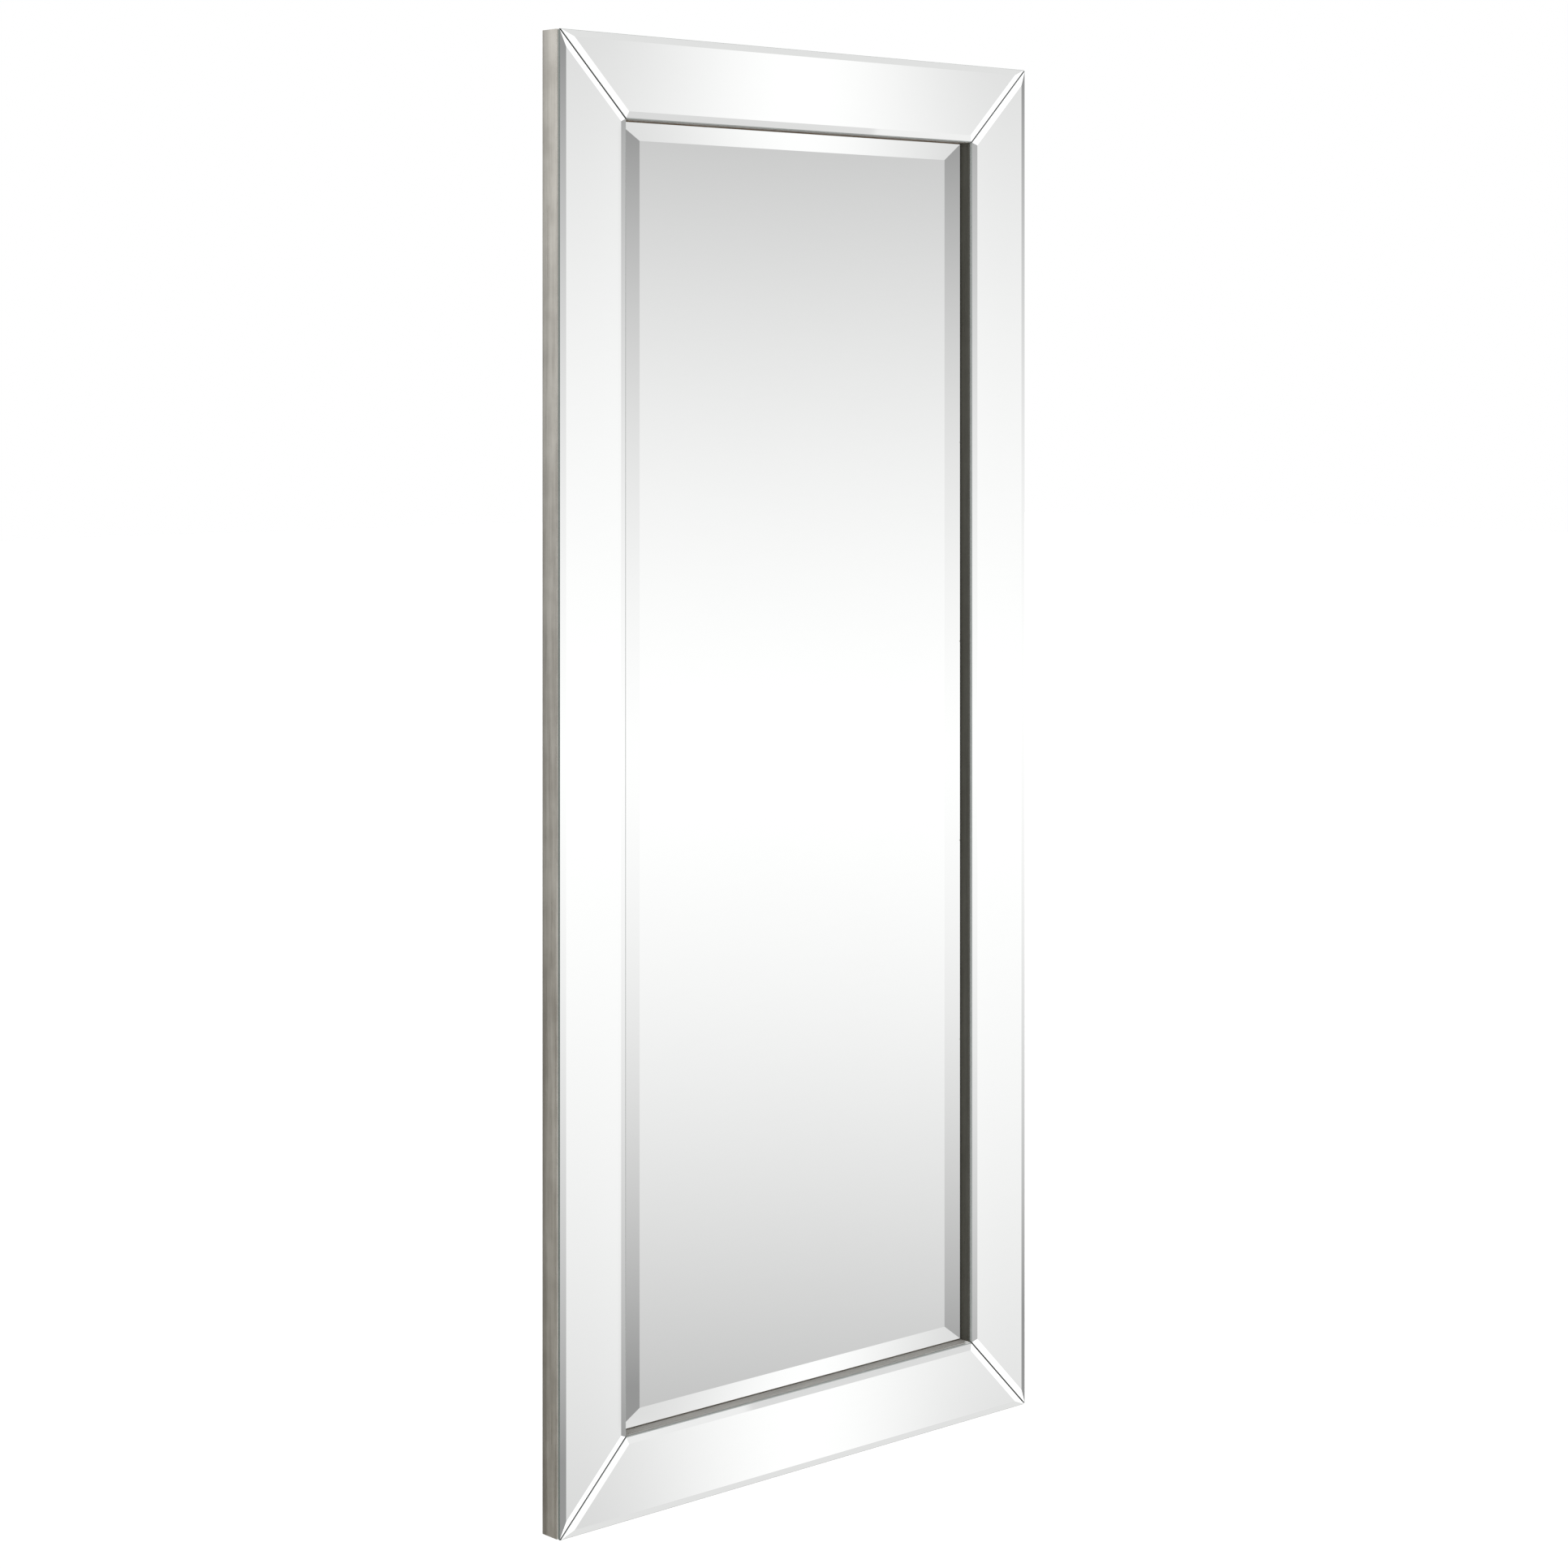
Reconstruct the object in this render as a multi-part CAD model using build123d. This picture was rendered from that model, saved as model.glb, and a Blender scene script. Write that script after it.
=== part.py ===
from build123d import *
import math
import os

# Wall mirror with a mirrored frame, in millimetres. X runs across it, +Z is up and the front faces -Y.
# The origin is on the wall, midway between the two hooks that hold it in portrait.

# Overall size, across the mirror strips
overall_width = 609.6
overall_height = 1371.6

# Mirror strips, flush with the wood under them
strip_width = 78.0
strip_thickness = 4.0
strip_bevel_width = 6.35
strip_bevel_rise = 1.4
mitre_gap = 1.0

# Wood frame
wood_depth = 23.0
outer_arris = 1.5
inner_arris = 0.8
rebate_width = 10.0

# Centre mirror, inside the wood's sight opening
centre_thickness = 5.0
centre_side_bevel_width = 25.4
centre_end_bevel_width = 17.5
centre_bevel_rise = 3.0
centre_gap = 1.0

# Backing board, let into the rebate from behind
board_thickness = 5.0
board_recess = 3.2
board_clearance = 0.5

# Double-sided mounting tapes
strip_tape_thickness = 0.6
strip_tape_width = 18.0
strip_tape_inset = 8.0
centre_tape_thickness = 0.8
centre_tape_width = 25.0
centre_tape_count = 4
centre_tape_inset = 45.0

# V-nails across each mitre, driven from behind
v_nail_count = 2
v_nail_leg = 10.0
v_nail_gauge = 0.8
v_nail_length = 12.0

# Screws that hold the backing board
board_screw_shank = 3.0
board_screw_length = 12.0
board_screw_head = 5.8
board_screw_head_height = 1.8
board_screw_pitch = 240.0
board_screw_hole_clearance = 0.2

# Ring hangers: a folded strap and a D-ring of round wire that swings in its rolled end
portrait_drop = 215.0
landscape_drop = 150.0
strap_width = 15.0
strap_gauge = 1.0
strap_pinch = 5.5
ring_wire = 3.0
ring_reach = 15.5
ring_clearance = 0.05
ring_side_clearance = 2.5
ring_end_play = 0.5
ring_rest_gap = 0.2

# Screws that hold the hangers
hanger_screw_shank = 3.5
hanger_screw_length = 16.0
hanger_screw_head = 6.8
hanger_screw_head_height = 2.2
hanger_screw_margin = 2.0
hanger_screw_hole_clearance = 0.2

# All screws: cross recess, pointed tip and the play of a shank in its pilot hole
recess_arm = 0.55
recess_width = 0.16
recess_depth = 0.6
tip_share = 0.3
pilot_play = 0.05

# Soft dots that keep the back off the wall
bumper_diameter = 12.7
bumper_height = 6.0
bumper_inset = 20.0
bumper_round = 1.2

# Distances in front of the wall
wood_back = bumper_height
wood_front = wood_back + wood_depth
strip_back = wood_front + strip_tape_thickness
board_back = wood_back + board_recess
board_front = board_back + board_thickness
centre_back = board_front + centre_tape_thickness

# Heights and places across the back
top_edge = portrait_drop
centre_height = top_edge - overall_height / 2
sight_width = overall_width - 2 * strip_width
sight_height = overall_height - 2 * strip_width
board_width = sight_width + 2 * (rebate_width - board_clearance)
board_height = sight_height + 2 * (rebate_width - board_clearance)
board_screw_line = rebate_width / 2

# Shapes of the hangers
wire_radius = ring_wire / 2
roll_bore = wire_radius + ring_clearance
roll_radius = roll_bore + strap_gauge
leaves = 2 * strap_gauge
ring_half_width = strap_width / 2 + ring_side_clearance + wire_radius
ring_corner = ring_side_clearance + wire_radius - ring_end_play
ring_top = ring_reach + wire_radius
ring_lean = math.degrees(math.asin((roll_radius - wire_radius - ring_rest_gap) / ring_top))
near_screw = (strap_pinch + ring_reach) / 2
far_screw = ring_top + wire_radius + hanger_screw_head / 2 + hanger_screw_margin
strap_length = far_screw + strap_width / 2

# Each side of the frame: its turn about the viewing axis, its length and how far it lies from the centre
sides = {
    "bottom": (0, overall_width, overall_height / 2),
    "right": (90, overall_height, overall_width / 2),
    "top": (180, overall_width, overall_height / 2),
    "left": (270, overall_height, overall_width / 2),
}
members = {"bottom": "bottom_rail", "right": "right_stile", "top": "top_rail", "left": "left_stile"}


def front_plane(standoff, x=0.0, z=centre_height):
    """Plane parallel to the wall, facing the viewer, with local x to the right and local y up."""
    return Plane(origin=(x, -standoff, z), x_dir=(1, 0, 0), z_dir=(0, -1, 0))


def back_plane(standoff, x, z):
    """Plane parallel to the wall, facing the wall, with local y up."""
    return Plane(origin=(x, -standoff, z), x_dir=(-1, 0, 0), z_dir=(0, 1, 0))


def side_location(side, standoff):
    """Local x runs along a side of the frame, y inward from its outer edge and z towards the viewer."""
    turn, _, reach = sides[side]
    return front_plane(standoff).location * Rot(Z=turn) * Pos(0, -reach, 0)


def mitred_outline(length, gap=0.0, inset=0.0):
    """Face of one side of the frame, with ends at 45 degrees, drawn in by the inset on all its edges."""
    slant = math.sqrt(2) * (gap / 2 + inset)
    outer, inner = inset, strip_width - inset
    half_outer = length / 2 - outer - slant
    half_inner = length / 2 - inner - slant
    corners = [(-half_outer, outer), (half_outer, outer), (half_inner, inner), (-half_inner, inner)]
    return make_face(Polyline(*corners, close=True))


def bevelled_glass(rim, face, thickness, rise):
    """Glass with a square edge along its rim, which slopes up to a smaller front face."""
    edge = thickness - rise
    slope = loft([Pos(0, 0, edge) * rim, Pos(0, 0, thickness) * face], ruled=True)
    return extrude(rim, edge) + slope


def mirror_strip(side):
    length = sides[side][1]
    rim = mitred_outline(length, mitre_gap)
    face = mitred_outline(length, mitre_gap, strip_bevel_width)
    glass = bevelled_glass(rim, face, strip_thickness, strip_bevel_rise)
    return side_location(side, strip_back) * glass


def strip_tapes(side):
    """Two runs of tape, one near each long edge, that stop short of the mitres."""
    length = sides[side][1]
    runs = []
    for near in (strip_tape_inset, strip_width - strip_tape_inset - strip_tape_width):
        far = near + strip_tape_width
        run_length = length - 2 * (far + strip_tape_inset)
        run = extrude(Pos(0, (near + far) / 2) * Rectangle(run_length, strip_tape_width), strip_tape_thickness)
        runs.append(side_location(side, wood_front) * run)
    return runs


def wood_member(side):
    """Rebated length of wood with rounded arrises, mitred at both ends."""
    length = sides[side][1]
    rebate_depth = board_recess + board_thickness
    with BuildSketch(Plane.YZ) as section:
        with BuildLine():
            Polyline(
                (0, 0),
                (strip_width - rebate_width, 0),
                (strip_width - rebate_width, rebate_depth),
                (strip_width, rebate_depth),
                (strip_width, wood_depth),
                (0, wood_depth),
                close=True,
            )
        make_face()
        outer_corners = section.vertices().group_by(Axis.Y)[0]
        fillet(outer_corners, outer_arris)
        inner_corner = section.vertices().group_by(Axis.Y)[-1].sort_by(Axis.Z)[-1]
        fillet(inner_corner, inner_arris)
    bar = extrude(section.sketch, length / 2, both=True)
    ends = extrude(mitred_outline(length), wood_depth)
    return side_location(side, wood_back) * (bar & ends)


def v_nails():
    """Folded steel nails with one leg in each member, flush with the wood's back."""
    legs = Pos(v_nail_leg / 2, 0) * Rectangle(v_nail_leg, v_nail_gauge)
    legs += Pos(0, v_nail_leg / 2) * Rectangle(v_nail_gauge, v_nail_leg)
    legs += Rectangle(v_nail_gauge, v_nail_gauge)
    nail = extrude(legs, v_nail_length)
    nails = []
    for corner, (across, up) in enumerate(((-1, -1), (1, -1), (1, 1), (-1, 1))):
        for row in range(1, v_nail_count + 1):
            inward = row * strip_width / (v_nail_count + 1)
            x = across * (overall_width / 2 - inward)
            z = centre_height + up * (overall_height / 2 - inward)
            nails.append(front_plane(wood_back, x, z).location * Rot(Z=90 * corner) * nail)
    return nails


def pan_screw(shank, length, head, head_height):
    """Pan-head screw with a cross recess; the head stands on local z = 0 and the shank goes down."""
    tip = tip_share * shank
    pan = Pos(0, 0, head_height / 2) * Cylinder(head / 2, head_height)
    pan = fillet(pan.edges().sort_by(Axis.Z)[-1], head_height / 2)
    body = Pos(0, 0, -(length - shank) / 2) * Cylinder(shank / 2, length - shank)
    point = Pos(0, 0, -length + shank / 2) * Cone(tip, shank / 2, shank)
    screw = pan + body + point
    depth = recess_depth * head_height
    arm, width = recess_arm * head, recess_width * head
    recess = Pos(0, 0, head_height - depth / 2) * (Box(arm, width, depth) + Box(width, arm, depth))
    return screw - recess


def board_screw_places():
    """Screw positions round the board's rim, evenly spaced along each side."""
    half_width = sight_width / 2 + board_screw_line
    half_height = sight_height / 2 + board_screw_line
    across = math.ceil(sight_width / board_screw_pitch)
    upward = math.ceil(sight_height / board_screw_pitch)
    places = []
    for step in range(across):
        x = (step + 0.5) * sight_width / across - sight_width / 2
        places += [(x, centre_height - half_height), (x, centre_height + half_height)]
    for step in range(upward):
        z = centre_height + (step + 0.5) * sight_height / upward - sight_height / 2
        places += [(-half_width, z), (half_width, z)]
    return places


def board_screws():
    screw = pan_screw(board_screw_shank, board_screw_length, board_screw_head, board_screw_head_height)
    return [back_plane(board_back, x, z).location * screw for x, z in board_screw_places()]


def board_screw_pilots():
    """Holes in the wood for the part of each shank beyond the board."""
    depth = board_screw_length - board_thickness + pilot_play
    pilot = Pos(0, 0, -depth / 2) * Cylinder(board_screw_shank / 2 + pilot_play, depth)
    return [back_plane(board_front, x, z).location * pilot for x, z in board_screw_places()]


def backing_board():
    board = extrude(Rectangle(board_width, board_height), board_thickness)
    board = front_plane(board_back).location * board
    hole = Cylinder(board_screw_shank / 2 + board_screw_hole_clearance, 2 * board_thickness)
    return board - [back_plane(board_back, x, z).location * hole for x, z in board_screw_places()]


def centre_mirror():
    width, height = sight_width - 2 * centre_gap, sight_height - 2 * centre_gap
    rim = Rectangle(width, height)
    face = Rectangle(width - 2 * centre_side_bevel_width, height - 2 * centre_end_bevel_width)
    glass = bevelled_glass(rim, face, centre_thickness, centre_bevel_rise)
    return front_plane(centre_back).location * glass


def centre_tapes():
    """Upright runs of tape between the board and the centre mirror, evenly spaced."""
    spread = sight_width - 2 * centre_tape_inset - centre_tape_width
    run = extrude(Rectangle(centre_tape_width, sight_height - 2 * centre_tape_inset), centre_tape_thickness)
    places = [spread * (step / (centre_tape_count - 1) - 0.5) for step in range(centre_tape_count)]
    return [front_plane(board_front, x).location * run for x in places]


def hanger_location(x, z, turn):
    """Foot of a ring's pivot on the wood's back: local x points along the raised ring, z to the wall."""
    raised = Plane(origin=(x, -wood_back, z), x_dir=(0, 0, 1), z_dir=(0, 1, 0))
    return raised.location * Rot(Z=turn)


def hanger_strap():
    """Strap folded round the ring's bar, its two leaves pressed together and screwed down."""
    roll = Pos(0, roll_radius) * Circle(roll_radius)
    bore = Pos(0, roll_radius) * Circle(roll_bore)
    fold = make_hull([*roll.edges(), Line((-strap_pinch, 0), (-strap_pinch, leaves))])
    hollow = make_hull([*bore.edges(), Line((-strap_pinch, strap_gauge), (-strap_pinch / 2, strap_gauge))])
    flat = Pos(-(strap_pinch + strap_length) / 2, strap_gauge) * Rectangle(strap_length - strap_pinch, leaves)
    section = Plane.XZ * (fold + flat - hollow)
    folded = extrude(section, strap_width / 2, both=True)
    square = strap_length - strap_width / 2
    plan = Pos(-(square - roll_radius) / 2, 0) * Rectangle(square + roll_radius, strap_width)
    plan += Pos(-square, 0) * Circle(strap_width / 2)
    strap = folded & extrude(plan, 2 * roll_radius)
    hole = Cylinder(hanger_screw_shank / 2 + hanger_screw_hole_clearance, 2 * roll_radius)
    return strap - [Pos(-reach, 0, 0) * hole for reach in (near_screw, far_screw)]


def d_ring():
    """Closed D of round wire: a straight bar on the pivot, two arms and a half circle for the hook."""
    half, turn = ring_half_width, ring_corner
    shoulder = ring_top - half
    path = [
        Line((0, 0), (0, half - turn)),
        CenterArc((turn, half - turn), turn, 180, -90),
        Line((turn, half), (shoulder, half)),
        CenterArc((shoulder, 0), half, 90, -180),
        Line((shoulder, -half), (turn, -half)),
        CenterArc((turn, turn - half), turn, 270, -90),
        Line((0, turn - half), (0, 0)),
    ]
    wire = sweep(Plane.XZ * Circle(wire_radius), path=Wire(path))
    return Pos(0, 0, roll_radius) * Rot(Y=ring_lean) * wire


def hanger_screws(location):
    screw = pan_screw(hanger_screw_shank, hanger_screw_length, hanger_screw_head, hanger_screw_head_height)
    return [location * Pos(-reach, 0, leaves) * screw for reach in (near_screw, far_screw)]


def hanger_pilots(location):
    """Holes in the wood for the part of each shank beyond the strap."""
    depth = hanger_screw_length - leaves + pilot_play
    pilot = Pos(0, 0, -depth / 2) * Cylinder(hanger_screw_shank / 2 + pilot_play, depth)
    return [location * Pos(-reach, 0, 0) * pilot for reach in (near_screw, far_screw)]


def hangers():
    """Pivot place and turn of each ring hanger, by name."""
    middle = strip_width / 2
    stile = overall_width / 2 - middle
    rail = overall_height / 2 - middle
    landscape_pivot = overall_width / 2 - landscape_drop - ring_reach
    return {
        "portrait_left": hanger_location(-stile, -ring_reach, 0),
        "portrait_right": hanger_location(stile, -ring_reach, 0),
        "landscape_top": hanger_location(landscape_pivot, centre_height + rail, 90),
        "landscape_bottom": hanger_location(landscape_pivot, centre_height - rail, 90),
    }


def bumper(across, up):
    dot = Pos(0, 0, bumper_height / 2) * Cylinder(bumper_diameter / 2, bumper_height)
    dot = fillet(dot.edges().sort_by(Axis.Z)[-1], bumper_round)
    x = across * (overall_width / 2 - bumper_inset)
    z = centre_height + up * (overall_height / 2 - bumper_inset)
    return back_plane(wood_back, x, z).location * dot


def build():
    """All nodes of the mirror, by name."""
    nails = v_nails()
    places = hangers()
    pilots = board_screw_pilots() + [hole for place in places.values() for hole in hanger_pilots(place)]
    nodes = {
        "centre_mirror": centre_mirror(),
        "backing_board": backing_board(),
        "centre_mirror_tapes": Compound(children=centre_tapes()),
        "corner_v_nails": Compound(children=nails),
        "backing_board_screws": Compound(children=board_screws()),
    }
    for side, member in members.items():
        nodes[side + "_mirror_strip"] = mirror_strip(side)
        nodes[side + "_strip_tapes"] = Compound(children=strip_tapes(side))
        nodes[member] = wood_member(side) - nails - pilots
    for name, place in places.items():
        nodes[name + "_strap"] = place * hanger_strap()
        nodes[name + "_ring"] = place * d_ring()
    screws = [screw for place in places.values() for screw in hanger_screws(place)]
    nodes["hanger_screws"] = Compound(children=screws)
    for high, up in (("top", 1), ("bottom", -1)):
        for hand, across in (("left", -1), ("right", 1)):
            nodes[f"{high}_{hand}_bumper"] = bumper(across, up)
    return nodes


os.makedirs("parts", exist_ok=True)
for name, shape in build().items():
    export_step(shape, f"parts/{name}.step")
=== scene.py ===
import math

import bmesh
import bpy
from mathutils import Matrix, Vector

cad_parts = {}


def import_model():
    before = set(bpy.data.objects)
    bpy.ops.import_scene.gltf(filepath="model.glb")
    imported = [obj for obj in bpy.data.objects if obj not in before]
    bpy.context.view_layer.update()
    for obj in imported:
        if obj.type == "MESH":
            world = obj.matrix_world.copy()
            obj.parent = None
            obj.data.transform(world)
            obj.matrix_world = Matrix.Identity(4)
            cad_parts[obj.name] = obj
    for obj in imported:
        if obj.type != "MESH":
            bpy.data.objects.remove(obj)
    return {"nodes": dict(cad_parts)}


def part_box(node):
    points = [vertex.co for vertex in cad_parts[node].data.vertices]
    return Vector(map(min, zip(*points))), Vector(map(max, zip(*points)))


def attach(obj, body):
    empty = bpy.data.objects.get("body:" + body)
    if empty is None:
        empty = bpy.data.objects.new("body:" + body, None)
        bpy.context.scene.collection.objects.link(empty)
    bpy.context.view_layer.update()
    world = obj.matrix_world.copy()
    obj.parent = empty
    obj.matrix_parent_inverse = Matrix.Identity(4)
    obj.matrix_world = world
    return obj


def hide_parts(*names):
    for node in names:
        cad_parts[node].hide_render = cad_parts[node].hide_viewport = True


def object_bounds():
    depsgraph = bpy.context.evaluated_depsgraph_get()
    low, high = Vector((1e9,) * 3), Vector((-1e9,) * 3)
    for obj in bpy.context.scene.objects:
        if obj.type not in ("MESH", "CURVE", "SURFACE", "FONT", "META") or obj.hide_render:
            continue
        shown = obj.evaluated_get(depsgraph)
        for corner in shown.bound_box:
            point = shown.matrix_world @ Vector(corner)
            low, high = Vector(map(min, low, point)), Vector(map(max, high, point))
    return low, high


# A wall mirror in a mirrored frame, in metres. X runs across it, +Z is up and the front faces -Y.

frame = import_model()
cad_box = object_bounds()
low, high = Vector(cad_box[0]), Vector(cad_box[1])
nodes = frame["nodes"]

SIDES = ("bottom", "right", "top", "left")
LEVEL_SIDES = ("bottom", "top")
MEMBERS = {"bottom": "bottom_rail", "right": "right_stile", "top": "top_rail", "left": "left_stile"}
HANGERS = ("portrait_left", "portrait_right", "landscape_top", "landscape_bottom")

# Sizes of the glass and wood pieces. The arrises of the glass, the wider inner bevel and SMALL_ROUND are
# only here; the others are as in the CAD model.
STRIP_BEVEL_WIDTH = 0.00635
STRIP_BEVEL_RISE = 0.0014
CENTRE_SIDE_BEVEL_WIDTH = 0.0254
CENTRE_END_BEVEL_WIDTH = 0.0175
CENTRE_BEVEL_RISE = 0.003
MITRE_GAP = 0.001
OUTER_ROUND = 0.0015
INNER_ROUND = 0.0008
REBATE_PLAY = 0.0005
GLASS_ARRIS = 0.00035
INNER_ARRIS = 0.001
INNER_BEVEL_WIDTH = STRIP_BEVEL_WIDTH + INNER_ARRIS - GLASS_ARRIS  # keeps the tilt of the other bevels
SMALL_ROUND = 0.0004
ROUND_STEPS = 5

# Camera, fitted to the photograph's edges. The corner is the top left one of the strips' rim, placed as
# seen from the camera.
VIEW_TURN = math.radians(42.28)
CORNER_ACROSS = -0.20338
CORNER_ABOVE = 0.32177
CORNER_AHEAD = 3.05529
PHOTO_SIZE = 1932
FOCAL_PIXELS = 4151.55
HORIZON_PIXEL = 472.0
SENSOR = 36.0
SIGHT_REACH = 100.0

# Stage
FLOOR_DROP = 0.65
FLOOR_REACH = 30.0
FLOOR_GLOW = 0.35
FLOOR_GREYS = (0.80, 0.84)


# Node-tree helpers

def set_input(tree, socket, value):
    """Link an output to the socket, or set the socket's own value."""
    if isinstance(value, bpy.types.NodeSocket):
        tree.links.new(value, socket)
    else:
        socket.default_value = value


def calc(tree, operation, *values):
    """Output of a Math node."""
    node = tree.nodes.new("ShaderNodeMath")
    node.operation = operation
    for socket, value in zip(node.inputs, values):
        set_input(tree, socket, value)
    return node.outputs[0]


def ramp(tree, value, start, end, to_start=0.0, to_end=1.0):
    """Smooth change from to_start to to_end while the value goes from start to end."""
    node = tree.nodes.new("ShaderNodeMapRange")
    node.interpolation_type = "SMOOTHSTEP"
    for name, number in (("Value", value), ("From Min", start), ("From Max", end),
                         ("To Min", to_start), ("To Max", to_end)):
        set_input(tree, node.inputs[name], number)
    return node.outputs["Result"]


def window(tree, value, *edges):
    """1 between two soft edges, each given as the value where it is 0 and the value where it is 1."""
    first, second = [ramp(tree, value, *edge) for edge in edges]
    return calc(tree, "MULTIPLY", first, second)


def blend_values(tree, share, first, second):
    """The first value where the share is 0, the second where it is 1."""
    kept = calc(tree, "MULTIPLY", first, calc(tree, "SUBTRACT", 1.0, share))
    return calc(tree, "ADD", kept, calc(tree, "MULTIPLY", share, second))


def weigh(tree, first, first_weight, second, second_weight):
    """Sum of two values, each times its weight."""
    return calc(tree, "ADD", calc(tree, "MULTIPLY", first, first_weight),
                calc(tree, "MULTIPLY", second, second_weight))


def blend_colours(tree, share, first, second):
    """The first colour where the share is 0, the second where it is 1."""
    node = tree.nodes.new("ShaderNodeMix")
    node.data_type = "RGBA"
    set_input(tree, node.inputs[0], share)
    set_input(tree, node.inputs[6], first)
    set_input(tree, node.inputs[7], second)
    return node.outputs[2]


def noise(tree, vector, scale, detail=3.0, roughness=0.55):
    node = tree.nodes.new("ShaderNodeTexNoise")
    set_input(tree, node.inputs["Vector"], vector)
    node.inputs["Scale"].default_value = scale
    node.inputs["Detail"].default_value = detail
    node.inputs["Roughness"].default_value = roughness
    return node.outputs["Fac"]


def place(tree, stretch=(1.0, 1.0, 1.0)):
    """Object coordinates, which are row coordinates here, stretched along each axis."""
    coordinates = tree.nodes.new("ShaderNodeTexCoord")
    mapping = tree.nodes.new("ShaderNodeMapping")
    mapping.inputs["Scale"].default_value = stretch
    tree.links.new(coordinates.outputs["Object"], mapping.inputs["Vector"])
    return mapping.outputs["Vector"]


def bump(tree, shader, height, distance):
    node = tree.nodes.new("ShaderNodeBump")
    node.inputs["Distance"].default_value = distance
    tree.links.new(height, node.inputs["Height"])
    tree.links.new(node.outputs["Normal"], shader.inputs["Normal"])


def new_material(name, **values):
    material = bpy.data.materials.new(name)
    material.use_nodes = True
    tree = material.node_tree
    shader = tree.nodes["Principled BSDF"]
    for key, value in values.items():
        shader.inputs[key.replace("_", " ")].default_value = value
    return material, tree, shader


def opaque(colour):
    """A colour of three parts with full alpha, as sockets take it."""
    return (*colour, 1.0)


def grey(value):
    return opaque((value, value, value))


def grain_stretch(along, across, lengthwise):
    """Stretch of a texture with its grain along the length of a piece, which runs along x or z."""
    stretch = [across, across, across]
    stretch["xyz".index(along)] = lengthwise
    return stretch


# Materials

NOISE_SPAN = (0.3, 0.7)  # where most values of a noise lie


def silver(name, tint, haze):
    """Silvered float glass: a sharp reflection with a faint polishing haze."""
    streak_stretch, dirt_span, dulling, haze_rise = (1.0, 1.0, 6.0), (0.1, 0.6), 0.985, 2.2
    material, tree, shader = new_material(name, Metallic=1.0)
    cloud = noise(tree, place(tree), scale=7.0)
    streak = noise(tree, place(tree, streak_stretch), scale=26.0)
    dirt = calc(tree, "MULTIPLY", cloud, streak)
    hazed = opaque(dulling * part for part in tint)
    set_input(tree, shader.inputs["Base Color"], blend_colours(tree, dirt, opaque(tint), hazed))
    set_input(tree, shader.inputs["Roughness"], ramp(tree, dirt, *dirt_span, haze, haze_rise * haze))
    return material


def ground_glass(name, dark, light):
    """Ground glass without silver, where its green body colour shows."""
    stretch, rough = (30.0, 400.0, 30.0), (0.18, 0.38)
    material, tree, shader = new_material(name, IOR=1.52, Coat_Weight=0.4, Coat_Roughness=0.1)
    grain = noise(tree, place(tree, stretch), scale=3.0)
    set_input(tree, shader.inputs["Base Color"], blend_colours(tree, grain, opaque(dark), opaque(light)))
    set_input(tree, shader.inputs["Roughness"], ramp(tree, grain, *NOISE_SPAN, *rough))
    return material


def mirror_back():
    """Black protective paint on the back of the silver, darkened in part as painted shade of the gaps it
    lines.
    """
    dark, light = (0.010, 0.011, 0.012), (0.020, 0.021, 0.022)
    material, tree, shader = new_material("mirror_back_paint_and_gap_shade", Roughness=0.6)
    cloud = noise(tree, place(tree), scale=60.0)
    set_input(tree, shader.inputs["Base Color"], blend_colours(tree, cloud, opaque(dark), opaque(light)))
    return material


# Painted shade: between these places the paint is darkened toward the wall, to this brightness
SHADE_FRONT, SHADE_BACK = -0.024, -0.003
BACK_SHADE_BRIGHTNESS = 0.62


def champagne(name, along, dark, light, flake):
    """Silver-champagne paint over wood, brushed along the member, with the grain just telling through.
    Flake is the share of metal in the paint."""
    stretch, coarser = grain_stretch(along, across=55.0, lengthwise=2.2), 0.35
    brushed_weight, mottle_weight, grain_weight = 0.6, 0.4, 0.8
    tone_span, rough, relief = (0.32, 0.68), (0.26, 0.40), 0.00012
    material, tree, shader = new_material(name, Metallic=flake, IOR=1.5)
    brushed = noise(tree, place(tree, stretch), scale=3.0, detail=5.0, roughness=0.6)
    mottle = noise(tree, place(tree), scale=34.0, detail=4.0)
    grain = noise(tree, place(tree, [coarser * part for part in stretch]), scale=9.0, detail=2.0)
    share = weigh(tree, brushed, brushed_weight, mottle, mottle_weight)
    colour = blend_colours(tree, ramp(tree, share, *tone_span), opaque(dark), opaque(light))
    # Painted shade: the colour darkens toward the wall side of each member
    shaded_colour = blend_colours(tree, 1.0 - BACK_SHADE_BRIGHTNESS, colour, grey(0.0))
    split = tree.nodes.new("ShaderNodeSeparateXYZ")
    tree.links.new(place(tree), split.inputs[0])
    unshaded_share = ramp(tree, split.outputs["Y"], SHADE_BACK, SHADE_FRONT)
    set_input(tree, shader.inputs["Base Color"], blend_colours(tree, unshaded_share, shaded_colour, colour))
    set_input(tree, shader.inputs["Roughness"], ramp(tree, brushed, *NOISE_SPAN, *rough))
    bump(tree, shader, calc(tree, "ADD", brushed, calc(tree, "MULTIPLY", grain, grain_weight)), relief)
    return material


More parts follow.
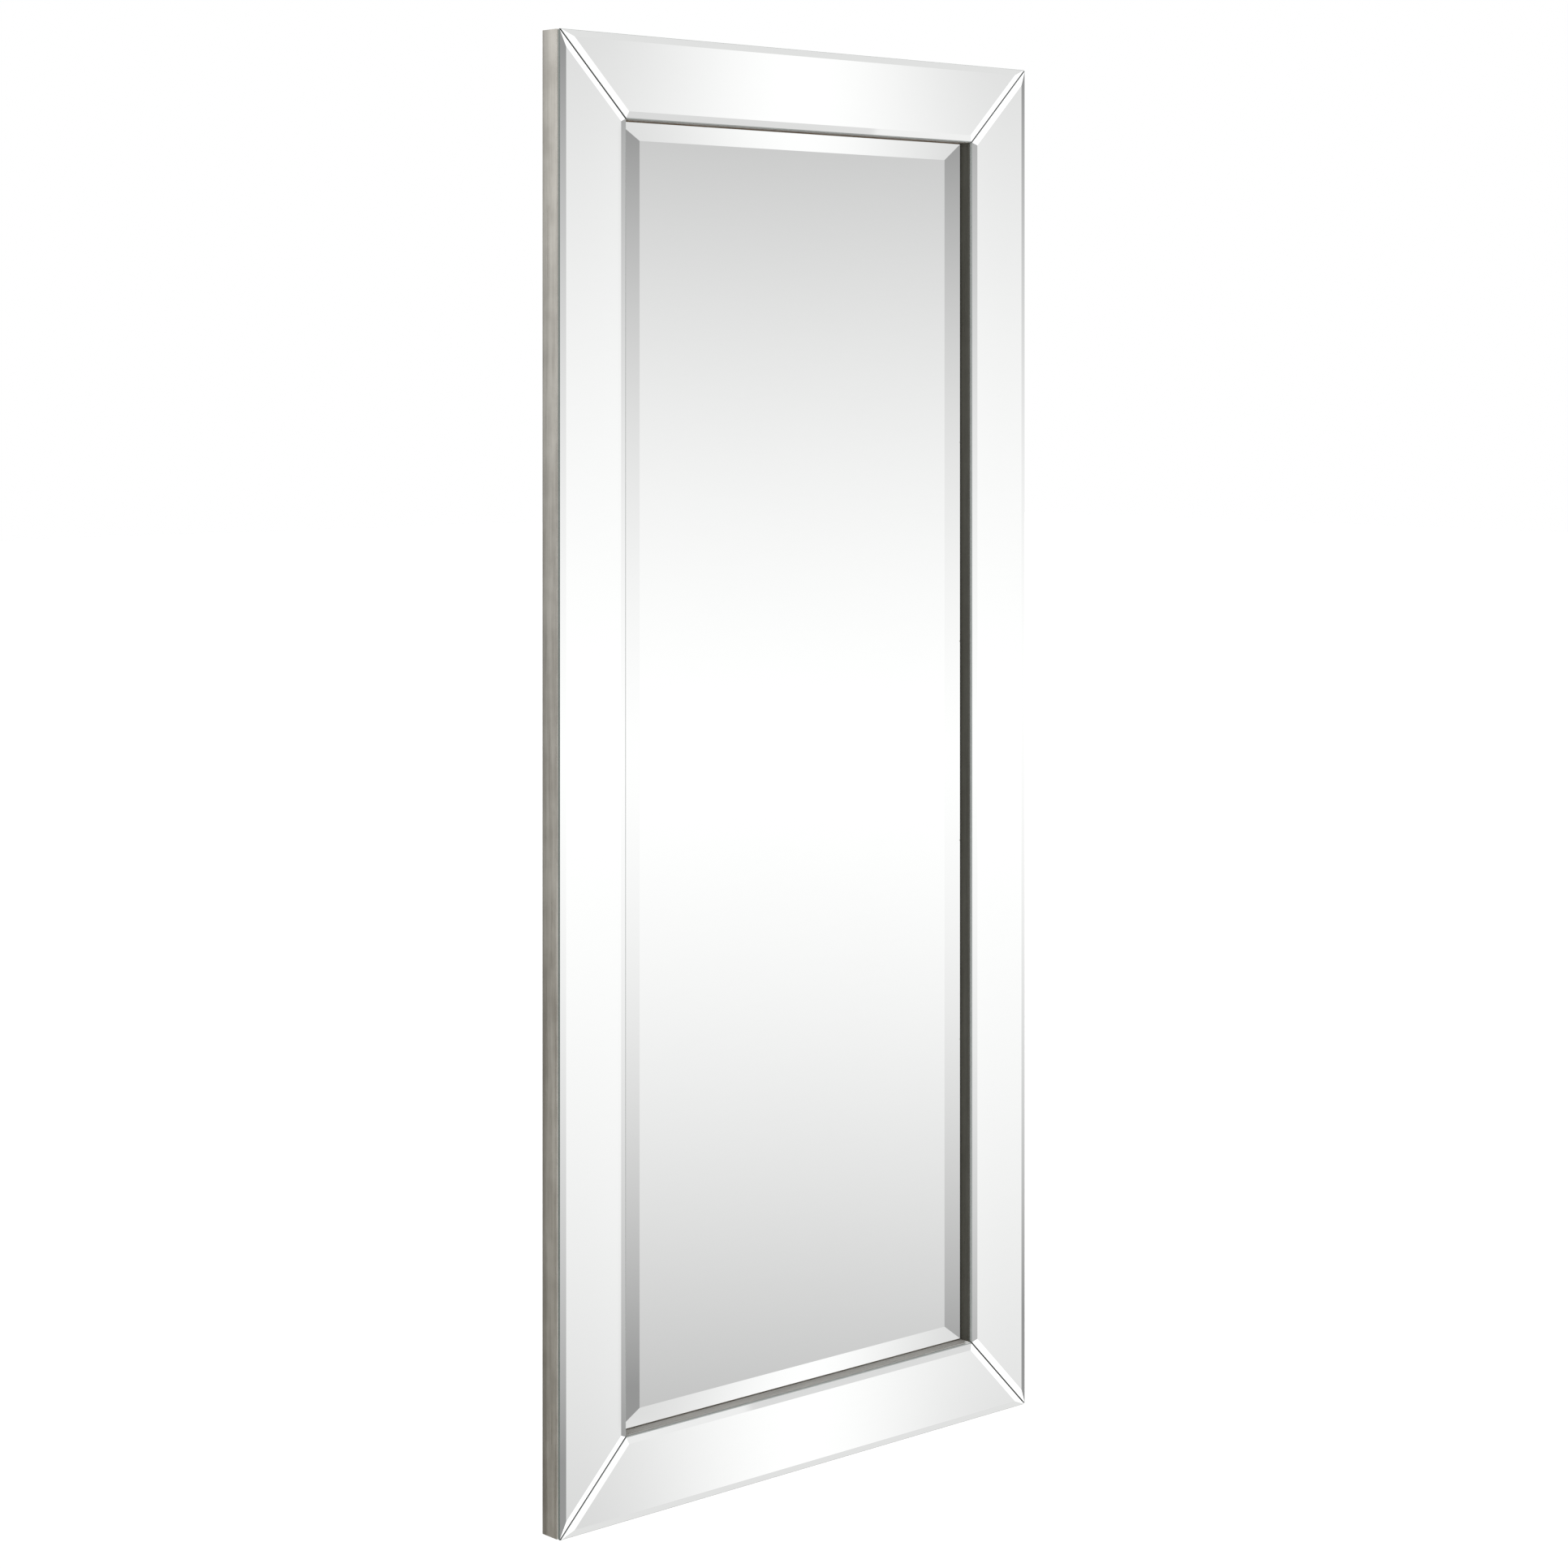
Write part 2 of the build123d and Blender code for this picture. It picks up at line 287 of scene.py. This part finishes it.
def bare_wood(along):
    """Unpainted pine on the back of a member, with its grain along the length."""
    early, late = (0.60, 0.42, 0.25), (0.42, 0.26, 0.13)
    stretch, finer = grain_stretch(along, across=1.0, lengthwise=0.06), 260.0
    ring_count, late_starts, late_ends = 11.0, (0.0, 0.75), (1.0, 0.8)
    ring_weight, pore_weight = 0.7, 0.3
    rough, relief = (0.62, 0.8), 0.00015
    material, tree, shader = new_material("bare_wood_" + along, IOR=1.45)
    warped = noise(tree, place(tree, stretch), scale=14.0)
    rings = calc(tree, "FRACT", calc(tree, "MULTIPLY", warped, ring_count))
    rings = calc(tree, "MULTIPLY", ramp(tree, rings, *late_starts), ramp(tree, rings, *late_ends))
    pores = noise(tree, place(tree, [finer * part for part in stretch]), scale=6.0, detail=2.0)
    share = weigh(tree, rings, ring_weight, pores, pore_weight)
    set_input(tree, shader.inputs["Base Color"], blend_colours(tree, share, opaque(early), opaque(late)))
    set_input(tree, shader.inputs["Roughness"], ramp(tree, pores, *NOISE_SPAN, *rough))
    bump(tree, shader, calc(tree, "ADD", rings, pores), relief)
    return material


def hardboard():
    """Smooth brown fibreboard with fine flecks."""
    dark, light, fleck = (0.26, 0.155, 0.085), (0.34, 0.21, 0.12), (0.42, 0.29, 0.18)
    fibre_stretch, fleck_span = (1.0, 1.0, 0.7), (0.5, 0.72)
    rough, relief = (0.55, 0.75), 0.00008
    material, tree, shader = new_material("hardboard", IOR=1.45)
    fibre = noise(tree, place(tree, fibre_stretch), scale=900.0)
    patch = noise(tree, place(tree), scale=9.0)
    base = blend_colours(tree, patch, opaque(dark), opaque(light))
    flecked = blend_colours(tree, ramp(tree, fibre, *fleck_span), base, opaque(fleck))
    set_input(tree, shader.inputs["Base Color"], flecked)
    set_input(tree, shader.inputs["Roughness"], ramp(tree, fibre, *NOISE_SPAN, *rough))
    bump(tree, shader, fibre, relief)
    return material


def plated(name, colour, rough):
    """Plated steel, with fine scratches and cloudy patches."""
    scratch_stretch, dulling, wear_span, relief = (1.0, 1.0, 14.0), 0.72, (0.35, 0.65), 0.00003
    material, tree, shader = new_material(name, Metallic=1.0)
    patch = noise(tree, place(tree), scale=180.0)
    scratch = noise(tree, place(tree, scratch_stretch), scale=500.0, detail=2.0)
    dull = opaque(dulling * part for part in colour)
    set_input(tree, shader.inputs["Base Color"], blend_colours(tree, patch, dull, opaque(colour)))
    wear = calc(tree, "MULTIPLY", calc(tree, "ADD", patch, scratch), 0.5)
    set_input(tree, shader.inputs["Roughness"], ramp(tree, wear, *wear_span, *rough))
    bump(tree, shader, scratch, relief)
    return material


def soft(name, dark, light, rough, scale):
    """Foam, rubber or matt paint with a fine skin."""
    relief = 0.00005
    material, tree, shader = new_material(name, IOR=1.45)
    pores = noise(tree, place(tree), scale)
    set_input(tree, shader.inputs["Base Color"], blend_colours(tree, pores, opaque(dark), opaque(light)))
    set_input(tree, shader.inputs["Roughness"], ramp(tree, pores, *NOISE_SPAN, *rough))
    bump(tree, shader, pores, relief)
    return material


FLAT_HAZE, BEVEL_HAZE = 0.006, 0.012
FLAT_SILVER = silver("flat_silver", (0.86, 0.865, 0.86), FLAT_HAZE)
SIDE_BEVEL = silver("side_bevel_silver", (0.845, 0.85, 0.845), BEVEL_HAZE)
# Painted shade and highlight: a darker copy of the silver for the top and bottom strips' outer bevels, a
# brighter one for the mitred bevels
SHADED_LEVEL_BEVEL = silver("level_bevel_painted_shade", (0.63, 0.635, 0.63), BEVEL_HAZE)
BRIGHTENED_MITRE_BEVEL = silver("mitre_bevel_painted_highlight", (1.0, 1.0, 1.0), BEVEL_HAZE)
OUTER_BEVELS = {"bottom": SHADED_LEVEL_BEVEL, "right": SIDE_BEVEL, "top": SHADED_LEVEL_BEVEL, "left": SIDE_BEVEL}

EDGE = ground_glass("glass_edge", dark=(0.11, 0.135, 0.122), light=(0.23, 0.265, 0.245))
# Partly painted light: the strips' inner edges are lighter than the others, as a frosted arris and to lift
# the shade on that side
INNER_EDGE = ground_glass("inner_glass_edge_painted_light", dark=(0.34, 0.365, 0.35), light=(0.46, 0.485, 0.47))
BACK_PAINT_AND_GAP_SHADE = mirror_back()

# Paint by the axis that a member runs along. The walls of the opening are shaded, the upright ones most.
OUTSIDE_FLAKE, INSIDE_FLAKE = 0.55, 0.1
OUTSIDE_TONES = ((0.37, 0.35, 0.315), (0.55, 0.53, 0.485))
LEVEL_WALL_TONES = ((0.50, 0.495, 0.47), (0.57, 0.565, 0.535))
UPRIGHT_WALL_TONES = ((0.093, 0.092, 0.077), (0.117, 0.116, 0.098))
OUTSIDE_PAINT = {axis: champagne("champagne_" + axis, axis, *OUTSIDE_TONES, OUTSIDE_FLAKE) for axis in "xz"}
INSIDE_PAINT = {
    "x": champagne("sight_edge_x", "x", *LEVEL_WALL_TONES, INSIDE_FLAKE),
    "z": champagne("sight_edge_z", "z", *UPRIGHT_WALL_TONES, INSIDE_FLAKE),
}
# Painted shadow: near black on the members' fronts, under the strips and in the gaps around them
FRONT_PAINTED_SHADOW = soft("front_painted_shadow", dark=(0.006, 0.006, 0.006), light=(0.014, 0.014, 0.013),
                   rough=(0.7, 0.9), scale=300.0)
BARE_WOOD = {axis: bare_wood(axis) for axis in "xz"}


# Geometry

def make_piece(name, mesh_maker, materials, node):
    """A piece that stands for a CAD node and rides on its body. The photograph's mirrors show none of the
    frame in one another, so reflections leave these pieces out."""
    mesh = bpy.data.meshes.new(name)
    work = bmesh.new()
    mesh_maker(work)
    bmesh.ops.recalc_face_normals(work, faces=work.faces)
    work.to_mesh(mesh)
    work.free()
    for material in materials:
        mesh.materials.append(material)
    piece = bpy.data.objects.new(name, mesh)
    piece.visible_glossy = False
    bpy.context.scene.collection.objects.link(piece)
    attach(piece, "root")
    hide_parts(node)


def ring_of(work, corners):
    return [work.verts.new(corner) for corner in corners]


def bridge(work, first, second, materials):
    """Quads between two closed rings, with a material for each step along them."""
    count = len(first)
    for step in range(count):
        after = (step + 1) % count
        face = work.faces.new((first[step], first[after], second[after], second[step]))
        face.material_index = materials[step]


def cap(work, ring, material):
    work.faces.new(ring).material_index = material


FACE_SLOT, EDGE_SLOT, BACK_AND_GAP_SHADE_SLOT, INNER_EDGE_SLOT, FIRST_BEVEL_SLOT = range(5)


def bevelled_plate(work, outline, back, front, rise, bevel_widths, arris_widths, edges, arrises, bevels):
    """Glass plate: back, an arris that the back paint covers, a square edge, an arris, the bevel and the
    face. outline gives the corners in x and z, drawn in by two distances. The bevels and the arrises at the
    front have a width for each of the two. edges, arrises and bevels give the slot of each side."""
    bevel_start = front + rise
    levels = (
        (GLASS_ARRIS, GLASS_ARRIS, back),
        (0.0, 0.0, back - GLASS_ARRIS),
        (0.0, 0.0, bevel_start + GLASS_ARRIS),
        (*arris_widths, bevel_start - GLASS_ARRIS * rise / bevel_widths[0]),
        (*bevel_widths, front),
    )
    rings = [ring_of(work, [(x, y, z) for x, z in outline(one, other)]) for one, other, y in levels]
    painted = [BACK_AND_GAP_SHADE_SLOT] * len(bevels)
    for step, materials in enumerate((painted, edges, arrises, bevels)):
        bridge(work, rings[step], rings[step + 1], materials)
    cap(work, rings[0], BACK_AND_GAP_SHADE_SLOT)
    cap(work, rings[-1], FACE_SLOT)


def turned(side, along, inward):
    """Row x and z of a point given along a side of the frame and inward from its outer edge."""
    middle_x, middle_z = (low.x + high.x) / 2, (low.z + high.z) / 2
    half_width, half_height = (high.x - low.x) / 2, (high.z - low.z) / 2
    if side == "bottom":
        return middle_x + along, middle_z - half_height + inward
    if side == "top":
        return middle_x - along, middle_z + half_height - inward
    if side == "right":
        return middle_x + half_width - inward, middle_z + along
    return middle_x - half_width + inward, middle_z - along


def side_length(side):
    return high.x - low.x if side in LEVEL_SIDES else high.z - low.z


def side_width(side, lowest, highest):
    """Width of a piece that runs along a side, given the corners of its box."""
    return highest.z - lowest.z if side in LEVEL_SIDES else highest.x - lowest.x


def mirror_strip(side):
    """Mitred strip with a bevel on all four edges. Its mitred ends are black between the arrises, as
    painted shade in the mitre gaps."""
    node = side + "_mirror_strip"
    lowest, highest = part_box(node)
    width = side_width(side, lowest, highest)
    outer_slot, mitre_slot, inner_slot = range(FIRST_BEVEL_SLOT, FIRST_BEVEL_SLOT + 3)

    def outline(inset, inner_inset):
        slant = math.sqrt(2) * (MITRE_GAP / 2 + inset)
        outer, inner = inset, width - inner_inset
        half_outer = side_length(side) / 2 - outer - slant
        half_inner = side_length(side) / 2 - inner - slant
        corners = ((-half_outer, outer), (half_outer, outer), (half_inner, inner), (-half_inner, inner))
        return [turned(side, along, inward) for along, inward in corners]

    def plate(work):
        bevelled_plate(
            work, outline, highest.y, lowest.y, STRIP_BEVEL_RISE,
            bevel_widths=(STRIP_BEVEL_WIDTH, INNER_BEVEL_WIDTH),
            arris_widths=(GLASS_ARRIS, INNER_ARRIS),
            edges=(EDGE_SLOT, BACK_AND_GAP_SHADE_SLOT, INNER_EDGE_SLOT, BACK_AND_GAP_SHADE_SLOT),
            arrises=(EDGE_SLOT, EDGE_SLOT, INNER_EDGE_SLOT, EDGE_SLOT),
            bevels=(outer_slot, mitre_slot, inner_slot, mitre_slot))

    bevel_looks = (OUTER_BEVELS[side], BRIGHTENED_MITRE_BEVEL, SIDE_BEVEL)
    materials = (FLAT_SILVER, EDGE, BACK_PAINT_AND_GAP_SHADE, INNER_EDGE, *bevel_looks)
    make_piece(side + "_strip_glass", plate, materials, node)


def centre_glass():
    """Centre mirror, whose bevel is wider at the sides than at the top and bottom."""
    lowest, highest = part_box("centre_mirror")

    def outline(across, up):
        left, right = lowest.x + across, highest.x - across
        bottom, top = lowest.z + up, highest.z - up
        return [(left, bottom), (right, bottom), (right, top), (left, top)]

    def plate(work):
        bevelled_plate(
            work, outline, highest.y, lowest.y, CENTRE_BEVEL_RISE,
            bevel_widths=(CENTRE_SIDE_BEVEL_WIDTH, CENTRE_END_BEVEL_WIDTH),
            arris_widths=(GLASS_ARRIS, GLASS_ARRIS),
            edges=(EDGE_SLOT,) * 4,
            arrises=(EDGE_SLOT,) * 4,
            bevels=(FIRST_BEVEL_SLOT,) * 4)

    materials = (FLAT_SILVER, EDGE, BACK_PAINT_AND_GAP_SHADE, INNER_EDGE, SIDE_BEVEL)
    make_piece("centre_glass", plate, materials, "centre_mirror")


def rounded(corner, before, after, radius):
    """Points of an arc in place of a square corner. before and after are the directions to its two
    neighbours."""
    centre = corner + radius * (before + after)
    points = []
    for step in range(ROUND_STEPS + 1):
        turn = step / ROUND_STEPS * math.pi / 2
        points.append(centre - radius * (after * math.cos(turn) + before * math.sin(turn)))
    return points


OUTSIDE_SLOT, INSIDE_SLOT, BARE_SLOT, FRONT_SLOT = range(4)


def member_profile(width, rebate, shoulder, back, front):
    """Section of a frame member as (inward, y) points, and the slot of the surface that starts at each."""
    out, into, backward, forward = Vector((-1, 0)), Vector((1, 0)), Vector((0, 1)), Vector((0, -1))
    runs = (
        (OUTSIDE_SLOT, OUTSIDE_SLOT, rounded(Vector((0, back)), into, forward, OUTER_ROUND)),
        (OUTSIDE_SLOT, FRONT_SLOT, rounded(Vector((0, front)), backward, into, OUTER_ROUND)),
        (INSIDE_SLOT, INSIDE_SLOT, rounded(Vector((width, front)), out, backward, INNER_ROUND)),
        (BARE_SLOT, BARE_SLOT, [Vector((width, shoulder))]),
        (BARE_SLOT, BARE_SLOT, [Vector((width - rebate, shoulder))]),
        (BARE_SLOT, BARE_SLOT, rounded(Vector((width - rebate, back)), forward, out, SMALL_ROUND)),
    )
    points, surfaces = [], []
    for corner_surface, next_surface, corner in runs:
        points += corner
        surfaces += [corner_surface] * (len(corner) - 1) + [next_surface]
    return points, surfaces


def wood_member(side):
    """Mitred frame member, cut from one section."""
    node = MEMBERS[side]
    lowest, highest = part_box(node)
    width = side_width(side, lowest, highest)
    board_low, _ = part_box("backing_board")
    rebate = low.x + width - board_low.x + REBATE_PLAY
    profile, surfaces = member_profile(width, rebate, board_low.y, highest.y, lowest.y)

    def bar(work):
        rings = []
        for end in (-1, 1):
            corners = []
            for point in profile:
                along = end * (side_length(side) / 2 - point.x)
                x, z = turned(side, along, point.x)
                corners.append((x, point.y, z))
            rings.append(ring_of(work, corners))
        bridge(work, *rings, surfaces)
        for ring in rings:
            cap(work, ring, BARE_SLOT)

    axis = "x" if side in LEVEL_SIDES else "z"
    materials = (OUTSIDE_PAINT[axis], INSIDE_PAINT[axis], BARE_WOOD[axis], FRONT_PAINTED_SHADOW)
    make_piece(side + "_wood", bar, materials, node)


def repaint(material, *names):
    """Give CAD nodes a material in place of their own."""
    for name in names:
        nodes[name].data.materials.clear()
        nodes[name].data.materials.append(material)


# Pieces

for side in SIDES:
    mirror_strip(side)
    wood_member(side)
centre_glass()

strip_tapes = [side + "_strip_tapes" for side in SIDES]
for name in strip_tapes:
    nodes[name].visible_glossy = False
repaint(hardboard(), "backing_board")
repaint(soft("foam_tape", dark=(0.03, 0.03, 0.03), light=(0.06, 0.06, 0.06), rough=(0.7, 0.9), scale=700.0),
        "centre_mirror_tapes", *strip_tapes)
repaint(plated("v_nail_steel", (0.50, 0.50, 0.49), rough=(0.35, 0.5)), "corner_v_nails")
repaint(plated("screw_zinc", (0.72, 0.72, 0.70), rough=(0.22, 0.36)),
        "backing_board_screws", "hanger_screws")
repaint(plated("strap_zinc", (0.74, 0.74, 0.71), rough=(0.24, 0.40)),
        *[name + "_strap" for name in HANGERS])
repaint(plated("ring_nickel", (0.80, 0.79, 0.76), rough=(0.12, 0.24)),
        *[name + "_ring" for name in HANGERS])
repaint(soft("bumper_rubber", dark=(0.66, 0.65, 0.62), light=(0.78, 0.77, 0.74),
             rough=(0.35, 0.55), scale=400.0),
        *[f"{end}_{hand}_bumper" for end in ("top", "bottom") for hand in ("left", "right")])


# Stage

def floor():
    """Pale floor below the mirror, white to the camera where no shadow falls."""
    middle = (low + high) / 2
    mesh = bpy.data.meshes.new("floor")
    level = low.z - FLOOR_DROP
    corners = [(middle.x + across * FLOOR_REACH, middle.y + ahead * FLOOR_REACH, level)
               for across, ahead in ((-1, -1), (1, -1), (1, 1), (-1, 1))]
    mesh.from_pydata(corners, [], [(0, 1, 2, 3)])
    plane = bpy.data.objects.new("floor", mesh)
    bpy.context.scene.collection.objects.link(plane)
    material, tree, shader = new_material("floor_paint", Roughness=0.9, IOR=1.3)
    cloud = noise(tree, place(tree), scale=3.0)
    set_input(tree, shader.inputs["Base Color"], blend_colours(tree, cloud, *map(grey, FLOOR_GREYS)))
    path = tree.nodes.new("ShaderNodeLightPath")
    glow = tree.nodes.new("ShaderNodeEmission")
    strength = calc(tree, "MULTIPLY", path.outputs["Is Camera Ray"], FLOOR_GLOW)
    set_input(tree, glow.inputs["Strength"], strength)
    both = tree.nodes.new("ShaderNodeAddShader")
    tree.links.new(shader.outputs[0], both.inputs[0])
    tree.links.new(glow.outputs[0], both.inputs[1])
    tree.links.new(both.outputs[0], tree.nodes["Material Output"].inputs["Surface"])
    mesh.materials.append(material)
    plane.visible_glossy = False


# Studio surround, as glossy rays see it. All its values are of the direction of a ray: its slope is z over
# the level run, its turn is from the direction in which the flat mirrors reflect the middle of the view,
# and across and rise are x and z over the run away from the wall.
SURROUND_PEAK = 1.06
SURROUND_GAIN = 1.12
ROOM_LIGHT = 0.85

# It darkens above and below a band a little under the horizon, and is light again far from it
BAND_SLOPE = -0.11
BAND_START, BAND_END = 0.23, 0.45
DARKEST = 0.74
FALL_POWER = 1.5

# How fast it darkens depends on what looks there: the strips' faces straight across from the camera, the
# bevels to the sides of that. FALL_REST is for all that looks further round.
FALL_MIDDLE = 0.1
FALL_STRIP = 3.1
FALL_CENTRE = 5.7
FALL_CENTRE_BEVEL = 9.1
FALL_STRIP_BEVEL = 7.7
FALL_FAR_BEVEL = 9.5
FALL_REST = 2.4
CENTRE_BEVEL_TURNS = tuple(math.radians(turn) for turn in (9.0, 11.0))
STRIP_BEVEL_TURNS = tuple(math.radians(turn) for turn in (18.5, 20.0))
FAR_BEVEL_TURNS = tuple(math.radians(turn) for turn in (25.0, 27.0))
REST_TURNS = tuple(math.radians(turn) for turn in (30.5, 37.0))
FAR_BEVEL_LIFT = 0.018

# Panel that the face of the centre mirror sees, with its sides across and its ends by rise
PANEL_MIDDLE = 0.92
PANEL_HUMP = 0.125
PANEL_LEFT, PANEL_RIGHT = 0.8285, 1.0065
PANEL_BOTTOM, PANEL_TOP = -0.398, 0.0955
PANEL_SOFT = 0.006

# Soft edges of the slopes that the centre mirror's two end bevels see, and the middle of what each sees
END_BEVEL_VIEWS = (((0.25, 0.31), (0.385, 0.355), 1.012), ((-0.64, -0.61), (-0.49, -0.55), 1.14))
END_BEVEL_DARK = 0.3
END_BEVEL_HUMP = 0.12
END_BEVEL_REACH = (0.2, 0.3)

# Toward and behind the wall it grows brighter upward, and what lies below the horizon is a little warm
BEHIND_START, BEHIND_END = -0.05, 0.2
BEHIND_LEAST = 0.21
BEHIND_LEVEL = 0.66
BEHIND_RATE = 6.6
BEHIND_TOP = 0.14
WARM_SLOPES = (0.0, -0.28)
WARM = (1.0, 0.93, 0.76, 1.0)

LEAST_RUN = 0.001  # keeps the divisions off zero


def distance(tree, value, middle):
    return calc(tree, "ABSOLUTE", calc(tree, "SUBTRACT", value, middle))


def end_bevel_view(tree, slope, across, bottom_edge, top_edge, middle):
    """Darkness toward both ends of what one end bevel of the centre mirror sees."""
    off = distance(tree, across, middle)
    shade = calc(tree, "MULTIPLY", ramp(tree, off, 0.0, END_BEVEL_HUMP, 0.0, END_BEVEL_DARK),
                 ramp(tree, off, *END_BEVEL_REACH, 1.0, 0.0))
    return calc(tree, "MULTIPLY", shade, window(tree, slope, bottom_edge, top_edge))


def fall_rate(tree, across, rise, turn):
    """How fast the surround darkens away from its band, in the direction of a ray."""
    aside = calc(tree, "ABSOLUTE", turn)
    rate = ramp(tree, distance(tree, across, PANEL_MIDDLE), 0.0, PANEL_HUMP, FALL_MIDDLE, FALL_STRIP)
    for where, turns, change in (
            (aside, CENTRE_BEVEL_TURNS, FALL_CENTRE_BEVEL - FALL_STRIP),
            (aside, STRIP_BEVEL_TURNS, FALL_STRIP_BEVEL - FALL_CENTRE_BEVEL),
            (turn, FAR_BEVEL_TURNS, FALL_FAR_BEVEL - FALL_STRIP_BEVEL)):
        rate = calc(tree, "ADD", rate, ramp(tree, where, *turns, 0.0, change))
    rate = blend_values(tree, ramp(tree, aside, *REST_TURNS), rate, FALL_REST)
    width_share = window(tree, across, (PANEL_LEFT - PANEL_SOFT, PANEL_LEFT),
                         (PANEL_RIGHT + PANEL_SOFT, PANEL_RIGHT))
    height_share = window(tree, rise, (PANEL_BOTTOM - PANEL_SOFT, PANEL_BOTTOM),
                          (PANEL_TOP + PANEL_SOFT, PANEL_TOP))
    return blend_values(tree, calc(tree, "MULTIPLY", width_share, height_share), rate, FALL_CENTRE)


def surround(tree):
    """Brightness of the surround in the direction of a ray, and how warm it is there."""
    coordinates = tree.nodes.new("ShaderNodeTexCoord")
    split = tree.nodes.new("ShaderNodeSeparateXYZ")
    tree.links.new(coordinates.outputs["Generated"], split.inputs[0])
    x, y, z = split.outputs
    level_run = calc(tree, "SQRT", weigh(tree, x, x, y, y))
    slope = calc(tree, "DIVIDE", z, calc(tree, "MAXIMUM", level_run, LEAST_RUN))
    ahead = calc(tree, "MAXIMUM", calc(tree, "MULTIPLY", y, -1.0), LEAST_RUN)
    across = calc(tree, "DIVIDE", x, ahead)
    rise = calc(tree, "DIVIDE", z, ahead)
    turn = calc(tree, "SUBTRACT", calc(tree, "ARCTAN2", x, ahead), VIEW_TURN)

    rate = fall_rate(tree, across, rise, turn)
    band = ramp(tree, turn, *FAR_BEVEL_TURNS, BAND_SLOPE, BAND_SLOPE + FAR_BEVEL_LIFT)
    off_band = distance(tree, slope, band)
    dark = calc(tree, "MULTIPLY", calc(tree, "POWER", off_band, FALL_POWER), rate)
    dark = calc(tree, "MINIMUM", dark, DARKEST)
    dark = calc(tree, "MULTIPLY", dark, ramp(tree, off_band, BAND_START, BAND_END, 1.0, 0.0))
    for view in END_BEVEL_VIEWS:
        dark = calc(tree, "ADD", dark, end_bevel_view(tree, slope, across, *view))
    front = calc(tree, "MULTIPLY", calc(tree, "SUBTRACT", SURROUND_PEAK, dark), SURROUND_GAIN)

    climb = calc(tree, "MULTIPLY", calc(tree, "MINIMUM", slope, BEHIND_TOP), BEHIND_RATE)
    growth = calc(tree, "MULTIPLY", calc(tree, "EXPONENT", climb), BEHIND_LEVEL)
    behind = calc(tree, "ADD", growth, BEHIND_LEAST)
    behind_share = ramp(tree, y, BEHIND_START, BEHIND_END)
    warmth = calc(tree, "MULTIPLY", ramp(tree, slope, *WARM_SLOPES), behind_share)
    return blend_values(tree, behind_share, front, behind), warmth


def world():
    """Surround for glossy rays, white for the camera and an even room light for all else."""
    made = bpy.data.worlds.new("studio")
    bpy.context.scene.world = made
    made.use_nodes = True
    tree = made.node_tree
    path = tree.nodes.new("ShaderNodeLightPath")
    glossy, camera = path.outputs["Is Glossy Ray"], path.outputs["Is Camera Ray"]
    brightness, warmth = surround(tree)
    strength = blend_values(tree, glossy, ROOM_LIGHT, brightness)
    strength = blend_values(tree, camera, strength, 1.0)
    set_input(tree, tree.nodes["Background"].inputs["Strength"], strength)
    colour = blend_colours(tree, calc(tree, "MULTIPLY", warmth, glossy), grey(1.0), WARM)
    set_input(tree, tree.nodes["Background"].inputs["Color"], colour)


def camera():
    """Level camera, with its verticals kept parallel by a shift."""
    data = bpy.data.cameras.new("camera")
    data.sensor_fit = "HORIZONTAL"
    data.sensor_width = SENSOR
    data.lens = SENSOR * FOCAL_PIXELS / PHOTO_SIZE
    data.shift_y = (HORIZON_PIXEL - PHOTO_SIZE / 2) / PHOTO_SIZE
    data.clip_end = SIGHT_REACH
    holder = bpy.data.objects.new("camera", data)
    bpy.context.scene.collection.objects.link(holder)
    ahead = Vector((math.sin(VIEW_TURN), math.cos(VIEW_TURN), 0))
    right = Vector((math.cos(VIEW_TURN), -math.sin(VIEW_TURN), 0))
    corner = Vector((low.x, low.y + STRIP_BEVEL_RISE, high.z))
    eye = corner - CORNER_ACROSS * right - CORNER_AHEAD * ahead - Vector((0, 0, CORNER_ABOVE))
    up = Vector((0, 0, 1))
    holder.matrix_world = Matrix.Translation(eye) @ Matrix((right, up, -ahead)).transposed().to_4x4()
    bpy.context.scene.camera = holder


floor()
world()
camera()
bpy.context.scene.view_settings.view_transform = "Standard"
